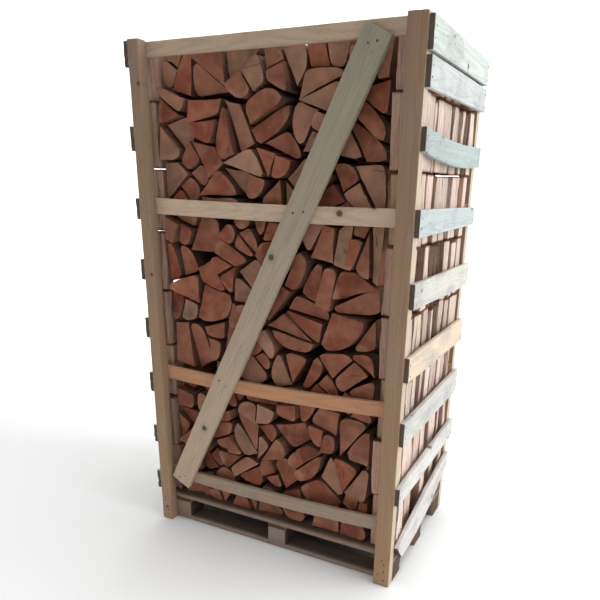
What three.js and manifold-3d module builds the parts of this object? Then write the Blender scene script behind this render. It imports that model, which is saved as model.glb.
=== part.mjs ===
// A tall slatted timber crate on a pallet, filled with split firewood.
// Millimetres, +Z up, the front faces -Y, the origin is on the ground under the middle of the crate.
// The lying logs show their sawn ends at the front and the back.
// The standing logs line both sides behind the slats.

import * as THREE from 'three';
import { mergeVertices } from 'three/addons/utils/BufferGeometryUtils.js';
import Module from 'manifold-3d';

const wasm = await Module();
wasm.setup();

// Driving dimensions
const WIDTH = 1200;              // over the posts, left to right
const DEPTH = 800;               // over the posts, front to back
const HEIGHT = 2100;
const CLEARANCE = 0.3;           // between pieces that touch

const POST_DEPTH = 45;
const POST_NARROW = 55;          // the post at the front left
const POST_WIDE = 70;            // the post at the front right
const RAIL_THICKNESS = 21;
const BRACE_WIDTH = 104;
const BRACE_THICKNESS = 25;
const SLAT_THICKNESS = 20;

const RUNNER_HEIGHT = 18;
const BLOCK_HEIGHT = 76;
const STRINGER_HEIGHT = 18;
const DECK_BOARD_HEIGHT = 18;

const STANDING_LOG_PITCH = 251.5;  // from one layer of standing logs to the next
const LEAST_LAYER = 150;         // the least height that is left for a layer at the top
const STANDING_LOG_DEPTH = { left: 66, right: 130 };  // how far they reach in from the slats
const STANDING_LOG_WIDTH = { least: 44, most: 108 };
const STANDING_LOG_LEAN = 24;    // the most that one leans over its height
const STANDING_LOG_SHORTFALL = 14;  // the most that one is shorter than its layer is high
const STANDING_LOG_RELIEF = { deepest: 42, uneven: 20 };  // behind and among the outer faces
const LYING_LOG_LENGTH = 333;
const LYING_LOG_RELIEF = { deepest: 96, uneven: 42 };     // behind and among the sawn ends
const FORWARD_SHARE = 1 / 2;     // of the lying logs, which stand out between the rails
const LOG_GAP = 6;
const LOOSE_LOG = { share: 0.15, gap: 26 };  // some have a wider gap round them
const LOG_TURN = 0.2;            // radians: how far a log may have turned out of line with its neighbours
const ROUND_LOG_COUNT = 82;      // in one row, front or back, before they were split
const MOST_CORNERS = 4;          // of a log's end
const BLUNT_CORNER_SHARE = 0.15; // a corner that holds less of a log's end is cut off
const LEAST_END_AREA = 1300;     // square millimetres of a log's end, and thinner splinters are left out
const STACK_GAP = 10;            // between the lying and the standing logs
const WALL_GAP = 4;              // between the logs and the walls before and behind them
const SLAT_GAP = 2;              // between the standing logs and the slats
const STACK_TOP = 2088;
const UNEVEN_TOP = 45;           // how far the lowest logs of the top layer stay below it
const CORE_INSET = 8;            // how far the solid part behind the ends stays inside them
const ROOT_OVERLAP = 3;          // how far each log runs into the solid part behind it

// Heights worked out from the driving dimensions
const BLOCK_BOTTOM = RUNNER_HEIGHT + CLEARANCE;
const STRINGER_BOTTOM = BLOCK_BOTTOM + BLOCK_HEIGHT + CLEARANCE;
const DECK_BOTTOM = STRINGER_BOTTOM + STRINGER_HEIGHT + CLEARANCE;
const STACK_BOTTOM = DECK_BOTTOM + DECK_BOARD_HEIGHT + CLEARANCE;

const HALF_WIDTH = WIDTH / 2;
const HALF_DEPTH = DEPTH / 2;
const PALLET_HALF_DEPTH = HALF_DEPTH - POST_DEPTH - CLEARANCE;
const RAIL_INSIDE = PALLET_HALF_DEPTH - RAIL_THICKNESS;
const RAIL_HALF_LENGTH = HALF_WIDTH - 2;

// Each rail's lower edge at its left end, middle and right end, and its height
const RAILS = [
  { bottom: [2043, 2044, 2046], height: 53 },
  { bottom: [1461, 1453, 1457], height: 64 },
  { bottom: [734, 720, 746], height: 61 },
  { bottom: [224, 212, 236], height: 58 },
];

// Each slat's lower and upper edge at stations from its front end to its back end. The lowest slat on the
// right is cut askew at the front, and its edges start and stop where it says.
const RIGHT_SLATS = [
  { bottom: [1990, 1992, 1994], top: [2089, 2088, 2087] },
  { bottom: [1886, 1890, 1894], top: [1979, 1981, 1982] },
  { bottom: [1700, 1668, 1676], top: [1776, 1752, 1758] },
  { bottom: [1428, 1432, 1438], top: [1521, 1517, 1511] },
  { bottom: [1181, 1172, 1166], top: [1273, 1270, 1267] },
  { bottom: [909, 906, 902], top: [1004, 1008, 1010] },
  { bottom: [650, 646, 649], top: [748, 752, 759] },
  { bottom: [390, 396, 405], top: [468, 483, 497] },
  {
    bottom: [97, 103, 133, 186, 262],
    top: [176, 222, 262, 296, 325],
    lowerReach: [-303, 375],
    upperReach: [-366, 375],
  },
];
const LEFT_SLATS = [
  { bottom: [2003, 2001, 1998], top: [2095, 2094, 2092] },
  { bottom: [1702, 1705, 1700], top: [1795, 1794, 1790] },
  { bottom: [1436, 1430, 1428], top: [1521, 1519, 1520] },
  { bottom: [1184, 1180, 1178], top: [1272, 1270, 1271] },
  { bottom: [924, 920, 913], top: [1016, 1010, 1006] },
  { bottom: [668, 662, 664], top: [760, 757, 752] },
  { bottom: [412, 408, 410], top: [498, 496, 500] },
  { bottom: [166, 170, 172], top: [258, 262, 262] },
];

const BRACE_FOOT = new THREE.Vector2(-496, 214);
const BRACE_HEAD = new THREE.Vector2(429, 2068);

const woods = {
  post: new THREE.MeshStandardMaterial({ color: 0x9c8466, roughness: 0.8, metalness: 0 }),
  rail: new THREE.MeshStandardMaterial({ color: 0xb79670, roughness: 0.75, metalness: 0 }),
  slat: new THREE.MeshStandardMaterial({ color: 0xc9c6b4, roughness: 0.8, metalness: 0 }),
  brace: new THREE.MeshStandardMaterial({ color: 0xa89e82, roughness: 0.8, metalness: 0 }),
  pallet: new THREE.MeshStandardMaterial({ color: 0x8a7a66, roughness: 0.85, metalness: 0 }),
  firewood: new THREE.MeshStandardMaterial({ color: 0x9a5c42, roughness: 0.85, metalness: 0 }),
};

const crate = new THREE.Group();

function add(name, geometry, wood, parent = crate) {
  const mesh = new THREE.Mesh(geometry, wood);
  mesh.name = name;
  parent.add(mesh);
  return mesh;
}

// A squared piece of timber between two corners
function addTimber(name, low, high, wood, parent) {
  const size = new THREE.Vector3().subVectors(high, low);
  const mesh = add(name, new THREE.BoxGeometry(size.x, size.y, size.z), wood, parent);
  mesh.position.addVectors(low, high).multiplyScalar(0.5);
  return mesh;
}

const at = (x, y, z) => new THREE.Vector3(x, y, z);

// Turns that lay a flat outline, drawn in X and Y, upright in the front wall or the side wall
const frontWall = new THREE.Matrix4().makeBasis(at(1, 0, 0), at(0, 0, 1), at(0, -1, 0));
const sideWall = new THREE.Matrix4().makeBasis(at(0, 1, 0), at(0, 0, 1), at(1, 0, 0));

function sawn(outline, thickness) {
  const shape = new THREE.Shape(outline);
  return new THREE.ExtrudeGeometry(shape, { depth: thickness, bevelEnabled: false });
}

// The outline of a board from its lower and upper edge at even stations along it
function boardOutline({ bottom, top, lowerReach, upperReach }) {
  const edge = (heights, [start, stop]) => heights.map(
    (z, index) => new THREE.Vector2(start + ((stop - start) * index) / (heights.length - 1), z));
  return [...edge(bottom, lowerReach), ...edge(top, upperReach).reverse()];
}

function addPosts() {
  const widths = {
    front: { left: POST_NARROW, right: POST_WIDE },
    back: { left: POST_WIDE, right: POST_NARROW },
  };
  for (const face of ['front', 'back']) {
    for (const side of ['left', 'right']) {
      const outward = face === 'front' ? -1 : 1;
      const y = [outward * (HALF_DEPTH - POST_DEPTH), outward * HALF_DEPTH].sort((a, b) => a - b);
      const hand = side === 'left' ? -1 : 1;
      const x = [hand * (HALF_WIDTH - widths[face][side]), hand * HALF_WIDTH].sort((a, b) => a - b);
      addTimber(`post_${face}_${side}`, at(x[0], y[0], 0), at(x[1], y[1], HEIGHT), woods.post);
    }
  }
}

// The rails and the diagonal brace of one wall, which stands at the front
function addWall(face, parent) {
  const reach = [-RAIL_HALF_LENGTH, RAIL_HALF_LENGTH];
  RAILS.forEach(({ bottom, height }, index) => {
    const top = bottom.map((z) => z + height);
    const outline = boardOutline({ bottom, top, lowerReach: reach, upperReach: reach });
    const rail = add(`${face}_rail_${index + 1}`, sawn(outline, RAIL_THICKNESS), woods.rail, parent);
    rail.quaternion.setFromRotationMatrix(frontWall);
    rail.position.y = -RAIL_INSIDE;
  });

  const run = BRACE_HEAD.clone().sub(BRACE_FOOT).normalize();
  const across = new THREE.Vector2(run.y, -run.x).multiplyScalar(BRACE_WIDTH / 2);
  const corners = [
    BRACE_FOOT.clone().sub(across),
    BRACE_FOOT.clone().add(across),
    BRACE_HEAD.clone().add(across),
    BRACE_HEAD.clone().sub(across),
  ];
  const brace = add(`${face}_brace`, sawn(corners, BRACE_THICKNESS), woods.brace, parent);
  brace.quaternion.setFromRotationMatrix(frontWall);
  brace.position.y = -(PALLET_HALF_DEPTH + CLEARANCE);
}

function addSlats(side, slats, x) {
  const reach = [-HALF_DEPTH, HALF_DEPTH];
  slats.forEach((edges, index) => {
    const outline = boardOutline({ lowerReach: reach, upperReach: reach, ...edges });
    const slat = add(`${side}_slat_${index + 1}`, sawn(outline, SLAT_THICKNESS - CLEARANCE), woods.slat);
    slat.quaternion.setFromRotationMatrix(sideWall);
    slat.position.x = x;
  });
}

function addPallet() {
  const widths = { left: 140, middle: 92, right: 82 };
  const columns = [
    { centre: -HALF_WIDTH + widths.left / 2, width: widths.left },
    { centre: 30, width: widths.middle },
    { centre: HALF_WIDTH - widths.right / 2, width: widths.right },
  ];
  const blockDepth = 100;
  const rows = [-PALLET_HALF_DEPTH + blockDepth / 2, 0, PALLET_HALF_DEPTH - blockDepth / 2];

  rows.forEach((y, row) => {
    const front = y - blockDepth / 2;
    const back = y + blockDepth / 2;
    const runner = [at(-HALF_WIDTH, front, 0), at(HALF_WIDTH, back, RUNNER_HEIGHT)];
    addTimber(`pallet_runner_${row + 1}`, ...runner, woods.pallet);
    columns.forEach(({ centre, width }, column) => {
      const low = at(centre - width / 2, front, BLOCK_BOTTOM);
      const high = at(centre + width / 2, back, BLOCK_BOTTOM + BLOCK_HEIGHT);
      addTimber(`pallet_block_${row * columns.length + column + 1}`, low, high, woods.pallet);
    });
  });

  columns.forEach(({ centre, width }, column) => {
    const low = at(centre - width / 2, -PALLET_HALF_DEPTH, STRINGER_BOTTOM);
    const high = at(centre + width / 2, PALLET_HALF_DEPTH, STRINGER_BOTTOM + STRINGER_HEIGHT);
    addTimber(`pallet_stringer_${column + 1}`, low, high, woods.pallet);
  });

  const deckWidths = [120, 96, 120, 96, 120];
  const timber = deckWidths.reduce((sum, width) => sum + width, 0);
  const deckGap = (2 * PALLET_HALF_DEPTH - timber) / (deckWidths.length - 1);
  let y = -PALLET_HALF_DEPTH;
  deckWidths.forEach((width, index) => {
    const low = at(-HALF_WIDTH, y, DECK_BOTTOM);
    const high = at(HALF_WIDTH, y + width, DECK_BOTTOM + DECK_BOARD_HEIGHT);
    addTimber(`pallet_deck_board_${index + 1}`, low, high, woods.pallet);
    y += width + deckGap;
  });
}

// A repeatable stream of numbers between 0 and 1
function seeded(seed) {
  let state = seed;
  return () => {
    state = (state + 0x6d2b79f5) | 0;
    let mixed = Math.imul(state ^ (state >>> 15), 1 | state);
    mixed = (mixed + Math.imul(mixed ^ (mixed >>> 7), 61 | mixed)) ^ mixed;
    return ((mixed ^ (mixed >>> 14)) >>> 0) / 4294967296;
  };
}

// The part of a convex outline on the near side of the line where point.dot(normal) is reach
function trimmed(outline, normal, reach) {
  const kept = [];
  outline.forEach((point, index) => {
    const next = outline[(index + 1) % outline.length];
    const here = point.dot(normal) - reach;
    const there = next.dot(normal) - reach;
    if (here <= 0) kept.push(point);
    if (here < 0 !== there < 0 && here !== there) kept.push(point.clone().lerp(next, here / (here - there)));
  });
  return kept;
}

const signedArea = (a, b, c) => ((b.x - a.x) * (c.y - a.y) - (b.y - a.y) * (c.x - a.x)) / 2;

function centroid(outline) {
  const sum = new THREE.Vector2();
  let area = 0;
  for (let index = 1; index < outline.length - 1; index += 1) {
    const piece = signedArea(outline[0], outline[index], outline[index + 1]);
    const middle = outline[0].clone().add(outline[index]).add(outline[index + 1]).divideScalar(3);
    sum.addScaledVector(middle, piece);
    area += piece;
  }
  return sum.divideScalar(area);
}

// The ground nearest to one site
function cellAround(site, sites, frame) {
  let cell = frame;
  for (const other of sites) {
    if (other === site) continue;
    const normal = other.clone().sub(site).normalize();
    const halfWay = site.clone().add(other).multiplyScalar(0.5).dot(normal);
    cell = trimmed(cell, normal, halfWay);
  }
  return cell;
}

// A round log's end split once along a line through a point near its middle
function split(cell, angle, offset) {
  const normal = new THREE.Vector2(Math.cos(angle), Math.sin(angle));
  const reach = centroid(cell).dot(normal) + offset;
  return [trimmed(cell, normal, reach), trimmed(cell, normal.clone().negate(), -reach)];
}

const area = (outline) => outline.reduce(
  (sum, point, index) => sum + signedArea(outline[0], point, outline[(index + 1) % outline.length]), 0);

// Left whole, split in two, or split in two with the larger piece split again across
function splitRoundLog(cell, random) {
  const wholeShare = 0.12;
  const halvedShare = 0.52;
  const middle = 14;
  const choice = random();
  if (choice < wholeShare) return [cell];
  const angle = random() * Math.PI;
  const halves = split(cell, angle, (random() - 0.5) * middle);
  if (choice < halvedShare) return halves;
  const [smaller, larger] = halves.sort((a, b) => area(a) - area(b));
  return [smaller, ...split(larger, angle + Math.PI / 2, (random() - 0.5) * middle)];
}

// A split log's end: a piece that is drawn in by half a gap and turned a little, with its smallest corners
// cut off until few are left
function splitEnd(piece, gap, turn) {
  let outline = piece;
  piece.forEach((point, index) => {
    const edge = piece[(index + 1) % piece.length].clone().sub(point);
    const normal = new THREE.Vector2(edge.y, -edge.x).normalize();
    outline = trimmed(outline, normal, point.dot(normal) - gap / 2);
  });
  if (outline.length < 3) return outline;
  const cornerArea = (index) => {
    const before = outline[(index + outline.length - 1) % outline.length];
    const after = outline[(index + 1) % outline.length];
    return signedArea(before, outline[index], after);
  };
  while (outline.length > 3) {
    const areas = outline.map((_, index) => cornerArea(index));
    const smallest = Math.min(...areas);
    if (outline.length <= MOST_CORNERS && smallest > BLUNT_CORNER_SHARE * area(outline)) break;
    outline.splice(areas.indexOf(smallest), 1);
  }
  const middle = centroid(outline);
  return outline.map((point) => point.clone().rotateAround(middle, turn));
}

// The ends of closely stacked split logs that fill a rectangle
function stackedEnds({ left, right, bottom, top, seed }) {
  const random = seeded(seed);
  const frame = [
    new THREE.Vector2(left, bottom),
    new THREE.Vector2(right, bottom),
    new THREE.Vector2(right, top),
    new THREE.Vector2(left, top),
  ];
  const closestShare = 0.6;
  const apart = closestShare * Math.sqrt(area(frame) / ROUND_LOG_COUNT);
  let sites = [];
  while (sites.length < ROUND_LOG_COUNT) {
    const site = new THREE.Vector2(left + random() * (right - left), bottom + random() * (top - bottom));
    if (sites.every((other) => other.distanceTo(site) > apart)) sites.push(site);
  }
  sites = sites.map((site) => centroid(cellAround(site, sites, frame)));

  const up = new THREE.Vector2(0, 1);
  const across = new THREE.Vector2(1, 0);
  const inside = (end) => [[across, right], [across.clone().negate(), -left], [up.clone().negate(), -bottom]]
    .reduce((kept, [normal, reach]) => trimmed(kept, normal, reach), end);
  const looseEnd = (piece) => {
    const gap = random() < LOOSE_LOG.share ? LOG_GAP + (LOOSE_LOG.gap - LOG_GAP) * random() : LOG_GAP;
    return inside(splitEnd(piece, gap, (random() - 0.5) * LOG_TURN));
  };
  return sites
    .flatMap((site) => splitRoundLog(cellAround(site, sites, frame), random))
    .map((piece) => trimmed(piece, up, top - random() * UNEVEN_TOP))
    .filter((piece) => piece.length > 2)
    .map(looseEnd)
    .filter((piece) => piece.length > 2 && area(piece) > LEAST_END_AREA);
}

// Whether a log between two heights stays clear of the rails
function clearOfRails(low, high) {
  return RAILS.every(({ bottom, height }) => {
    const below = high < Math.min(...bottom) - WALL_GAP;
    const above = low > Math.max(...bottom) + height + WALL_GAP;
    return below || above;
  });
}

// The outer faces of short logs stood on end beside each other, layer on layer. A layer that no rail crosses
// reaches to the backs of the posts, and the others stay behind the rails. One log now and then is missing,
// but the first and last of a layer are there and are full height. Those at the walls come first.
function standingFaces(bottom, top, seed) {
  const random = seeded(seed);
  const missingShare = 0.05;
  const { least, most } = STANDING_LOG_WIDTH;
  const atWalls = [];
  const between = [];
  for (let foot = bottom; foot + LEAST_LAYER <= top; foot += STANDING_LOG_PITCH) {
    const fullHeight = Math.min(STANDING_LOG_PITCH, top - foot) - WALL_GAP;
    const wall = clearOfRails(foot, foot + fullHeight) ? PALLET_HALF_DEPTH : RAIL_INSIDE;
    const end = wall - WALL_GAP;
    let edge = -end;
    while (edge < end) {
      const wanted = edge + least + random() * (most - least);
      const next = wanted > end - least ? end : wanted;
      const lean = (random() - 0.5) * STANDING_LOG_LEAN;
      const atWall = edge === -end || next === end;
      const height = fullHeight - (atWall ? 0 : STANDING_LOG_SHORTFALL * random() ** 2);
      const low = edge + LOG_GAP / 2;
      const high = next - LOG_GAP / 2;
      const face = [
        new THREE.Vector2(low + Math.max(0, -lean), foot),
        new THREE.Vector2(high - Math.max(0, lean), foot),
        new THREE.Vector2(high + Math.min(0, lean), foot + height),
        new THREE.Vector2(low + Math.max(0, lean), foot + height),
      ];
      if (atWall) atWalls.push(face);
      else if (random() > missingShare) between.push(face);
      edge = next;
    }
  }
  return { atWalls, between };
}

function toSolid(geometry) {
  const bare = geometry.clone();
  bare.deleteAttribute('normal');
  bare.deleteAttribute('uv');
  const merged = mergeVertices(bare);
  const mesh = new wasm.Mesh({
    numProp: 3,
    vertProperties: merged.attributes.position.array,
    triVerts: new Uint32Array(merged.index.array),
  });
  return new wasm.Manifold(mesh);
}

function toGeometry(solid) {
  const mesh = solid.getMesh();
  const geometry = new THREE.BufferGeometry();
  geometry.setAttribute('position', new THREE.BufferAttribute(mesh.vertProperties, 3));
  geometry.setIndex(new THREE.BufferAttribute(mesh.triVerts, 1));
  return geometry;
}

// A list in another order that is drawn by lot
function shuffled(list, random) {
  return list
    .map((item) => ({ item, lot: random() }))
    .sort((a, b) => a.lot - b.lot)
    .map(({ item }) => item);
}

// The ends in order from the longest log. Those that stand out between the rails are ends that no rail
// crosses, and any end may be among the shorter ones.
function fromTheLongest(ends, random) {
  const betweenRails = (end) => {
    const heights = end.map((point) => point.y);
    return clearOfRails(Math.min(...heights), Math.max(...heights));
  };
  const all = shuffled(ends, random);
  const forward = all.filter(betweenRails).slice(0, Math.round(FORWARD_SHARE * all.length));
  return [...forward, ...all.filter((end) => !forward.includes(end))];
}

// One closed mass of logs: the inner part is solid, and each log stands out of it to its own length.
// The first end is the longest. No two logs are equally long, so each end is a face at a depth of its own.
function logMass({ ends, core, inner, tip, relief }) {
  const root = tip - relief.deepest;
  const inside = new THREE.BoxGeometry(core.right - core.left, core.top - core.bottom, root - inner);
  inside.translate((core.right + core.left) / 2, (core.top + core.bottom) / 2, (root + inner) / 2);
  return ends.reduce((mass, end, index) => {
    const length = relief.deepest - (relief.uneven * index) / ends.length;
    const log = sawn(end, length + ROOT_OVERLAP);
    log.translate(0, 0, root - ROOT_OVERLAP);
    return mass.add(toSolid(log));
  }, toSolid(inside));
}

// The solid part behind the ends stays inside them on all sides
function coreBehind({ left, right, bottom, top }) {
  return { left: left + CORE_INSET, right: right - CORE_INSET, bottom, top: top - UNEVEN_TOP };
}

// One row of lying logs, seen from its own face: the standing logs take their depth at both of its sides
function addLyingLogs(face, beside, seed, parent) {
  const stack = {
    left: -HALF_WIDTH + beside.left + STACK_GAP,
    right: HALF_WIDTH - beside.right - STACK_GAP,
    bottom: STACK_BOTTOM,
    top: STACK_TOP,
  };
  const tip = RAIL_INSIDE - WALL_GAP + FORWARD_SHARE * LYING_LOG_RELIEF.uneven;
  const mass = logMass({
    ends: fromTheLongest(stackedEnds({ ...stack, seed }), seeded(seed)),
    core: coreBehind(stack),
    inner: tip - LYING_LOG_LENGTH,
    tip,
    relief: LYING_LOG_RELIEF,
  });
  const logs = add(`logs_lying_${face}`, toGeometry(mass), woods.firewood, parent);
  logs.quaternion.setFromRotationMatrix(frontWall);
}

function addStandingLogs(side, seed, parent) {
  const halfWidth = RAIL_INSIDE - WALL_GAP;
  const stack = { left: -halfWidth, right: halfWidth, bottom: STACK_BOTTOM, top: STACK_TOP };
  const tip = HALF_WIDTH - SLAT_GAP;
  const { atWalls, between } = standingFaces(STACK_BOTTOM, STACK_TOP, seed);
  const mass = logMass({
    ends: [...atWalls, ...shuffled(between, seeded(seed))],
    core: coreBehind(stack),
    inner: tip - STANDING_LOG_DEPTH[side],
    tip,
    relief: STANDING_LOG_RELIEF,
  });
  const logs = add(`logs_standing_${side}`, toGeometry(mass), woods.firewood, parent);
  logs.quaternion.setFromRotationMatrix(sideWall);
}

const turned = new THREE.Group();
turned.rotation.z = Math.PI;
crate.add(turned);

addPallet();
addPosts();
addWall('front', crate);
addWall('back', turned);
addSlats('right', RIGHT_SLATS, HALF_WIDTH + CLEARANCE);
addSlats('left', LEFT_SLATS, -HALF_WIDTH - SLAT_THICKNESS);
addLyingLogs('front', STANDING_LOG_DEPTH, 11, crate);
addLyingLogs('back', { left: STANDING_LOG_DEPTH.right, right: STANDING_LOG_DEPTH.left }, 29, turned);
addStandingLogs('right', 5, crate);
addStandingLogs('left', 17, turned);

export default crate;
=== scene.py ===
# A slatted timber crate of split firewood, dressed round the fixed frame.
# Metres, +Z up, the front faces -Y.

import math

import bpy
import numpy as np
from bpy.props import FloatProperty, FloatVectorProperty, IntProperty, PointerProperty
from mathutils import Euler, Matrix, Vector
from mathutils.geometry import convex_hull_2d


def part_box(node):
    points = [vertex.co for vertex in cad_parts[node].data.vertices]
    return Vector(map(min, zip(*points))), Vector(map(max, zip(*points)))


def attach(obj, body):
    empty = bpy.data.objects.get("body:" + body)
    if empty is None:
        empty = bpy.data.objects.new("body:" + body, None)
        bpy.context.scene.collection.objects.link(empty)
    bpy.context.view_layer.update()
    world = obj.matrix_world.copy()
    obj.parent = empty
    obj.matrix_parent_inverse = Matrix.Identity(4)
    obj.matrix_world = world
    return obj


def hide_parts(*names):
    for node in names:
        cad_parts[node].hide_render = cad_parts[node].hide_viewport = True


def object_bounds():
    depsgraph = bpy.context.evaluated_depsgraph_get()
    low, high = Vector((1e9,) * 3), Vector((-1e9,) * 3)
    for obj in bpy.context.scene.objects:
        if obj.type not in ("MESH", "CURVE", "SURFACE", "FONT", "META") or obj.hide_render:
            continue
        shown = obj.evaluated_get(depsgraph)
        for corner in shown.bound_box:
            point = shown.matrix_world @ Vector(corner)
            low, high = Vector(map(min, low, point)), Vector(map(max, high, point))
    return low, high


bl_info = {
    "name": "Crate of firewood",
    "version": (1, 0, 0),
    "blender": (4, 5, 0),
    "location": "View3D > Sidebar > Crate",
    "description": "Builds the boards, the nails and the split logs of a crate of firewood",
    "category": "Object",
}

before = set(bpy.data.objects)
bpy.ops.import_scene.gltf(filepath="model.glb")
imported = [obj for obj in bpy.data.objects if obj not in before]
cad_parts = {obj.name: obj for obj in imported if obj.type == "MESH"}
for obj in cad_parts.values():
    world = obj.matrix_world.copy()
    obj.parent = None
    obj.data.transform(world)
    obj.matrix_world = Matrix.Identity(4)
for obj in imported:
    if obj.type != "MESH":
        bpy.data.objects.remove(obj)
CAD_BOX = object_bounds()

ALONG_X = np.array([1.0, 0.0, 0.0])
ALONG_Y = np.array([0.0, 1.0, 0.0])
ALONG_Z = np.array([0.0, 0.0, 1.0])

# Which way each wall faces.
OUTWARD = {"front": -ALONG_Y, "back": ALONG_Y, "right": ALONG_X, "left": -ALONG_X}


def a_colour(name, description, default):
    return FloatVectorProperty(
        name=name, description=description, default=default, size=3, subtype="COLOR", min=0.0, max=1.0)


def a_length(name, description, default):
    return FloatProperty(name=name, description=description, default=default, unit="LENGTH")


def a_strength(name, description, default):
    return FloatProperty(name=name, description=description, default=default, min=0.0)


class CrateTimber(bpy.types.PropertyGroup):
    edge_wear: a_length("Edge wear", "How far the sawn edges are rounded", 0.0022)
    roughness_depth: a_length("Saw roughness", "How deep the sawn faces dip", 0.0007)
    station_spacing: a_length("Station spacing", "From one section of a board to the next", 0.045)
    nail_radius: a_length("Nail head radius", "Radius of a nail's head", 0.0045)
    post_foot_tint: a_colour("Post colour at its foot", "Yellow-brown softwood", (0.40, 0.255, 0.15))
    post_head_tint: a_colour("Post colour at its head", "Softwood gone brown", (0.30, 0.197, 0.130))
    # Painted light: a post's outer side is drawn towards this paler colour, as if lit from the side.
    lit_side_tint: a_colour("Post colour on its outer side", "Bleached softwood", (0.66, 0.55, 0.42))
    rail_tint: a_colour("Rail colour", "Sawn softwood", (0.54, 0.41, 0.29))
    pale_rail_tint: a_colour("Pale rail colour", "Pale sawn softwood", (0.64, 0.485, 0.345))
    warm_rail_tint: a_colour("Warm rail colour", "Fresh orange softwood", (0.59, 0.305, 0.170))
    brown_rail_tint: a_colour("Lowest rail colour", "Softwood gone brown", (0.40, 0.28, 0.20))
    brace_foot_tint: a_colour("Brace colour at its foot", "Pale softwood", (0.64, 0.49, 0.345))
    brace_head_tint: a_colour("Brace colour at its head", "Grey-green softwood", (0.345, 0.32, 0.235))
    slat_tint: a_colour("Slat colour", "Pale weathered softwood", (0.645, 0.615, 0.58))
    silvered_tint: a_colour("Silvered slat colour", "Softwood gone pale grey", (0.535, 0.56, 0.54))
    blue_slat_tint: a_colour("Blue-grey slat colour", "Softwood gone blue-grey", (0.435, 0.485, 0.475))
    tan_slat_tint: a_colour("Tan slat colour", "Softwood still brown", (0.64, 0.52, 0.40))
    pallet_tint: a_colour("Pallet colour", "Worn softwood", (0.31, 0.22, 0.165))


class CrateFirewood(bpy.types.PropertyGroup):
    outline_points: IntProperty(
        name="Outline points", description="Points round each log's section", default=26, min=12)
    split_roughness: a_length("Split roughness", "How deep the torn faces dip", 0.0022)
    heart_tint: a_colour("Heartwood", "Red-brown sawn end", (0.258, 0.072, 0.037))
    sap_tint: a_colour("Sapwood", "Tan sawn end", (0.335, 0.182, 0.118))
    dark_tint: a_colour("Dark heartwood", "Deep brown sawn end", (0.18, 0.055, 0.033))
    lying_tint: a_colour("Side of a lying log", "Red-brown split face", (0.27, 0.122, 0.075))
    # The outside of a standing log is drawn paler and its inside darker: painted light and shade.
    upright_tint: a_colour("Outside of a standing log", "Bleached split face", (0.84, 0.66, 0.57))
    shaded_inner_tint: a_colour("Inside of a standing log", "Pinkish brown face", (0.60, 0.37, 0.27))


class CrateStage(bpy.types.PropertyGroup):
    floor_tint: a_colour("Floor colour", "Plain pale floor", (0.93, 0.93, 0.925))
    sky_strength: a_strength("Sky", "Strength of the even light", 0.31)
    side_strength: a_strength("Side light", "Watts from the right", 145.0)
    top_strength: a_strength("Top light", "Watts from above", 330.0)
    wall_strength: a_strength("Wall light", "Watts on the far wall", 900.0)


class Field:
    """A value that varies over a surface. An expression on it adds Math nodes."""

    def __init__(self, shader, socket):
        self.shader = shader
        self.socket = socket

    def math(self, operation, *others):
        """A Math node that starts from this value."""
        inputs = dict(enumerate((self,) + others))
        return self.shader.node("ShaderNodeMath", inputs, operation=operation)[0]

    def __add__(self, other):
        return self.math("ADD", other)

    def __sub__(self, other):
        return self.math("SUBTRACT", other)

    def __rsub__(self, other):
        return self.math("MULTIPLY_ADD", -1.0, other)

    def __mul__(self, other):
        return self.math("MULTIPLY", other)

    __radd__ = __add__
    __rmul__ = __mul__

    def rise(self, low, high):
        """0 below low, 1 above high, and a smooth step between."""
        inputs = {"Value": self, "From Min": low, "From Max": high}
        return self.shader.node("ShaderNodeMapRange", inputs, interpolation_type="SMOOTHSTEP")[0]


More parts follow.
